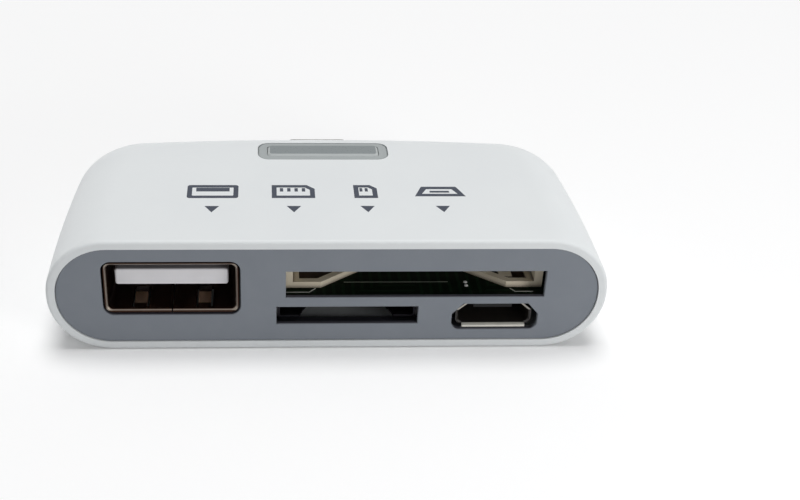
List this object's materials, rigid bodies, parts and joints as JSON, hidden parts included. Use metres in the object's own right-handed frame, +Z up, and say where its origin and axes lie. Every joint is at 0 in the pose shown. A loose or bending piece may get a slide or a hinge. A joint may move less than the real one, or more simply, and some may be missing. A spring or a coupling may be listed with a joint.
{
  "type": "usb memory card reader",
  "caption": "Pocket card reader: rounded white sleeve, grey front plate with sockets for a usb plug, memory cards and power, and a flat reversible plug at the rear.",
  "frame": {"origin": "on the surface that it lies on, under the middle of its outer box, plug included", "axes": "+X to the right seen from the port side, +Y from the port side to the plug, +Z up through the window"},
  "size_m": [0.0554, 0.0336, 0.0127],
  "materials": {
    "white_plastic": "satin moulded white",
    "grey_plastic": "fine matt grey",
    "bezel_plastic": "light grey, polished",
    "window_pane": "grey, polished",
    "board_green": "dark green solder mask",
    "socket_steel": "plated sheet",
    "tongue_white": "white moulding",
    "contact_metal": "gold flash",
    "cream_plastic": "cream moulding",
    "black_plastic": "black moulding",
    "chip_black": "moulded chip",
    "tinned_lead": "tinned",
    "led_body": "clear moulding",
    "capacitor_tan": "fired",
    "resistor_black": "coated"
  },
  "bodies": {
    "root": {"housing": "white_plastic", "front_plate": "grey_plastic", "window_bezel": "bezel_plastic", "window_lens": "window_pane", "main_board": "board_green", "usb_a_shell": "socket_steel", "usb_a_insulator": "tongue_white", "usb_a_contacts": "contact_metal", "card_socket_frame": "cream_plastic", "card_contacts": "contact_metal", "card_switch_contacts": "contact_metal", "small_card_cover": "socket_steel", "small_card_base": "black_plastic", "small_card_contacts": "contact_metal", "micro_usb_shell": "socket_steel", "micro_usb_insulator": "black_plastic", "micro_usb_contacts": "contact_metal", "plug_shell": "socket_steel", "plug_insulator": "black_plastic", "plug_contacts": "contact_metal", "plug_latches": "socket_steel", "hub_chip": "chip_black", "hub_chip_leads": "tinned_lead", "card_chip": "chip_black", "card_chip_leads": "tinned_lead", "crystal": "tinned_lead", "status_led": "led_body", "capacitors": "capacitor_tan", "resistors": "resistor_black"}
  },
  "joints": []
}
